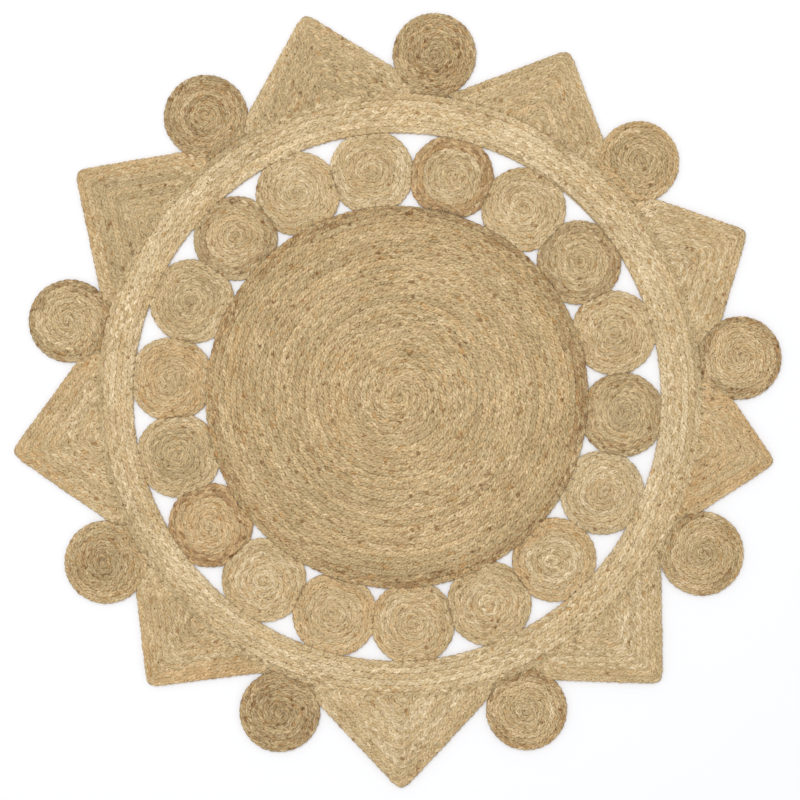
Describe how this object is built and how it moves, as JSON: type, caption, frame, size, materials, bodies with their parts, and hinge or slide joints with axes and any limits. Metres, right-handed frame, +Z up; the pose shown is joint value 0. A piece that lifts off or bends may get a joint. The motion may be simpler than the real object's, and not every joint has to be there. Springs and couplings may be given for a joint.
{
  "type": "area rug",
  "caption": "Round openwork area rug of sewn jute plait: a large spiral centre disc, a wreath of small medallions, a border ring, and an edge of discs and triangular petals.",
  "frame": {"origin": "middle of the centre disc's underside, on the floor", "axes": "+Z up, away from the floor; +X to the right and +Y to the back of the rug as it is seen from above"},
  "size_m": [1.1883, 1.1992, 0.009],
  "materials": {
    "centre_plait": "matte",
    "ring_plait": "matte",
    "medallion_plait": "matte",
    "outer_disc_plait": "matte",
    "petal_plait": "matte",
    "sewing_thread": "matte"
  },
  "bodies": {
    "root": {"centre_disc": "centre_plait", "border_ring": "ring_plait", "medallion_01": "medallion_plait", "medallion_02": "medallion_plait", "medallion_03": "medallion_plait", "medallion_04": "medallion_plait", "medallion_05": "medallion_plait", "medallion_06": "medallion_plait", "medallion_07": "medallion_plait", "medallion_08": "medallion_plait", "medallion_09": "medallion_plait", "medallion_10": "medallion_plait", "medallion_11": "medallion_plait", "medallion_12": "medallion_plait", "medallion_13": "medallion_plait", "medallion_14": "medallion_plait", "medallion_15": "medallion_plait", "medallion_16": "medallion_plait", "medallion_17": "medallion_plait", "medallion_18": "medallion_plait", "outer_disc_1": "outer_disc_plait", "outer_disc_2": "outer_disc_plait", "outer_disc_3": "outer_disc_plait", "outer_disc_4": "outer_disc_plait", "outer_disc_5": "outer_disc_plait", "outer_disc_6": "outer_disc_plait", "outer_disc_7": "outer_disc_plait", "outer_disc_8": "outer_disc_plait", "outer_disc_9": "outer_disc_plait", "petal_1": "petal_plait", "petal_2": "petal_plait", "petal_3": "petal_plait", "petal_4": "petal_plait", "petal_5": "petal_plait", "petal_6": "petal_plait", "petal_7": "petal_plait", "petal_8": "petal_plait", "petal_9": "petal_plait", "stitches_centre": "sewing_thread", "stitches_medallions": "sewing_thread", "stitches_ring_inside": "sewing_thread", "stitches_outer_discs": "sewing_thread", "stitches_petal_bases": "sewing_thread", "stitches_petal_flanks": "sewing_thread"}
  },
  "joints": []
}
